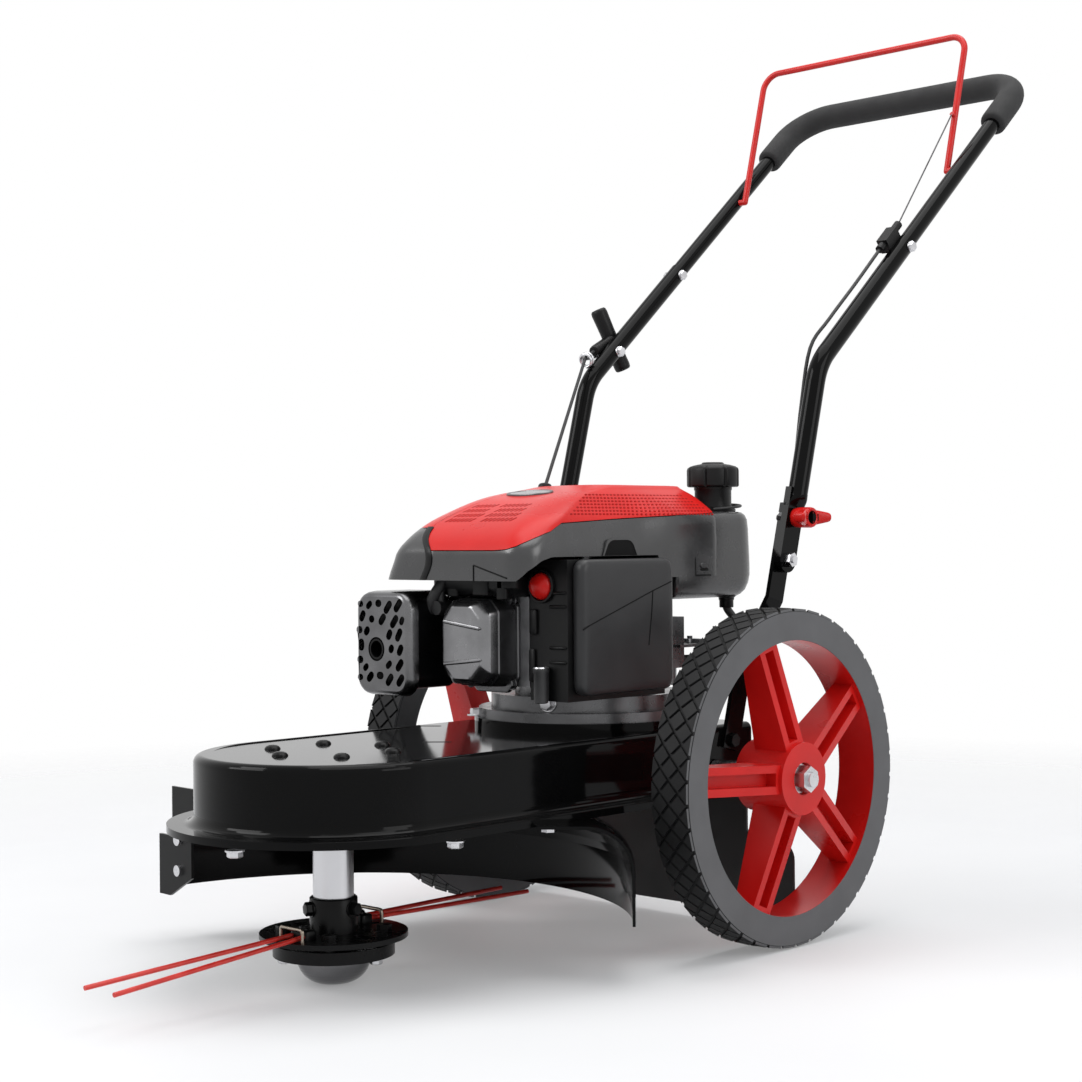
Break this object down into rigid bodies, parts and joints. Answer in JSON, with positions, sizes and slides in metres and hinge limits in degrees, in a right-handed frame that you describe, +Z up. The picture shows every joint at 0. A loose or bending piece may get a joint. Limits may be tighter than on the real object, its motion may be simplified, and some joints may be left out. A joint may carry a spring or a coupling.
{
  "type": "wheeled string trimmer",
  "caption": "Wheeled string trimmer: a belt-driven line head under a long deck, a vertical-shaft engine, large spoked wheels and a folding handle with a bail",
  "frame": {"origin": "where the cutting axis meets the ground", "axes": "+Y points back to the operator, +Z up, +X to the side with the air filter"},
  "size_m": [0.5593, 1.3074, 1.0585],
  "materials": {
    "gloss_black": "gloss",
    "cover_steel": "satin",
    "flap_rubber": "matt",
    "belt_rubber": "matt",
    "zinc_steel": "zinc plated",
    "black_steel": "satin",
    "cast_alu": "cast",
    "shaft_steel": "ground",
    "pulley_iron": "machined",
    "cover_paint": "satin",
    "exhaust_steel": "satin",
    "black_rubber": "matt",
    "bulb_red": "gloss",
    "grey_plastic": "fine grain",
    "filter_foam": "open foam",
    "red_cover": "gloss",
    "badge_metal": "satin",
    "black_plastic": "fine grain",
    "dome_steel": "satin",
    "rope_black": "braided",
    "cable_black": "satin",
    "line_red": "gloss",
    "wheel_red": "satin",
    "tyre_grey": "matt",
    "grip_foam": "foam",
    "bail_red": "gloss",
    "knob_red": "satin"
  },
  "bodies": {
    "chassis": {"deck": "gloss_black", "engine_plate": "gloss_black", "debris_guard": "gloss_black", "guard_bracket": "gloss_black", "handle_brackets": "gloss_black", "frame_plate": "cover_steel", "rear_flap": "flap_rubber", "drive_belt": "belt_rubber", "axle": "zinc_steel", "axle_hardware": "zinc_steel", "guard_fasteners": "zinc_steel", "pivot_bolts": "zinc_steel", "deck_bolts": "black_steel", "spindle_housing": "cast_alu", "crankcase": "cast_alu", "cylinder_block": "cast_alu", "carburettor": "cast_alu", "spindle_bearings": "shaft_steel", "valve_cover": "cover_paint", "muffler": "exhaust_steel", "muffler_shield": "exhaust_steel", "spark_plug": "black_rubber", "fuel_hose": "black_rubber", "engine_shroud": "grey_plastic", "filter_base": "grey_plastic", "filter_cover": "grey_plastic", "fuel_tank": "grey_plastic", "filter_element": "filter_foam", "starter_cover": "red_cover", "badge_plate": "badge_metal", "starter_rope": "rope_black", "brake_cable_lower": "cable_black"},
    "spindle": {"spindle_shaft": "shaft_steel", "spindle_pulley": "pulley_iron", "clamp_collar": "black_steel", "head_plates": "black_steel", "line_clips": "black_plastic", "cutting_lines": "line_red"},
    "dome": {"glide_dome": "dome_steel"},
    "crank": {"crankshaft": "shaft_steel", "flywheel": "pulley_iron", "engine_pulley": "pulley_iron"},
    "reel": {"recoil_reel": "black_plastic"},
    "brake": {"brake_lever": "zinc_steel"},
    "primer": {"primer_bulb": "bulb_red"},
    "cap": {"fuel_cap": "black_plastic"},
    "wheel_right": {"rim_right": "wheel_red", "tyre_right": "tyre_grey"},
    "wheel_left": {"rim_left": "wheel_red", "tyre_left": "tyre_grey"},
    "handle": {"lower_tubes": "gloss_black", "upper_handle": "gloss_black", "foam_grip": "grip_foam", "handle_fittings": "zinc_steel", "cable_adjuster": "black_plastic", "handle_cables": "cable_black"},
    "starter": {"starter_grip": "black_plastic"},
    "bail": {"bail": "bail_red"},
    "knob_right": {"wing_knob_right": "knob_red"},
    "knob_left": {"wing_knob_left": "knob_red"}
  },
  "joints": [
    {"name": "wheel_right_spin", "type": "hinge", "parent": "chassis", "child": "wheel_right", "pos_m": [0.217, 0.427, 0.178], "axis": [1, 0, 0], "continuous": true},
    {"name": "wheel_left_spin", "type": "hinge", "parent": "chassis", "child": "wheel_left", "pos_m": [-0.217, 0.427, 0.178], "axis": [1, 0, 0], "continuous": true},
    {"name": "crank_spin", "type": "hinge", "parent": "chassis", "child": "crank", "pos_m": [0, 0.365, 0.3], "axis": [0, 0, 1], "continuous": true},
    {"name": "spindle_spin", "type": "hinge", "parent": "chassis", "child": "spindle", "pos_m": [0, 0, 0.15], "axis": [0, 0, 1], "continuous": true},
    {"name": "dome_spin", "type": "hinge", "parent": "spindle", "child": "dome", "pos_m": [0, 0, 0.008], "axis": [0, 0, 1], "continuous": true},
    {"name": "handle_fold", "type": "hinge", "parent": "chassis", "child": "handle", "pos_m": [0, 0.504, 0.405], "axis": [1, 0, 0], "range_deg": [0, 120]},
    {"name": "bail_swing", "type": "hinge", "parent": "handle", "child": "bail", "pos_m": [0, 0.85886, 0.87782], "axis": [-1, 0, 0], "range_deg": [0, 27], "stiffness_Nm_per_rad": 0.6, "springref_deg": -34.38},
    {"name": "brake_lever_turn", "type": "hinge", "parent": "chassis", "child": "brake", "pos_m": [0.09, 0.438, 0.317], "axis": [0, 0, 1], "range_deg": [0, 33]},
    {"name": "wing_knob_right_turn", "type": "hinge", "parent": "handle", "child": "knob_right", "pos_m": [0.19, 0.51667, 0.4513], "axis": [1, 0, 0], "continuous": true},
    {"name": "wing_knob_left_turn", "type": "hinge", "parent": "handle", "child": "knob_left", "pos_m": [-0.19, 0.51667, 0.4513], "axis": [1, 0, 0], "continuous": true},
    {"name": "fuel_cap_turn", "type": "hinge", "parent": "chassis", "child": "cap", "pos_m": [0.067, 0.509, 0.5], "axis": [0, 0, 1], "range_deg": [0, 360]},
    {"name": "primer_press", "type": "slide", "parent": "chassis", "child": "primer", "axis": [0, 1, 0], "range_m": [0, 0.006], "stiffness_N_per_m": 800, "springref_m": -0.002},
    {"name": "reel_turn", "type": "hinge", "parent": "chassis", "child": "reel", "pos_m": [0, 0.365, 0.453], "axis": [0, 0, 1], "range_deg": [0, 760], "stiffness_Nm_per_rad": 0.03, "springref_deg": -343.77},
    {"name": "starter_pull", "type": "slide", "parent": "handle", "child": "starter", "axis": [-0.2517, 0.8997, 0.3566], "range_m": [0, 0.6]}
  ],
  "couplings": [
    {"joint": "spindle_spin", "follows": "crank_spin", "ratio": 0.7674},
    {"joint": "brake_lever_turn", "follows": "bail_swing", "ratio": 1.2},
    {"joint": "starter_pull", "follows": "reel_turn", "m_per_rad": 0.045}
  ]
}
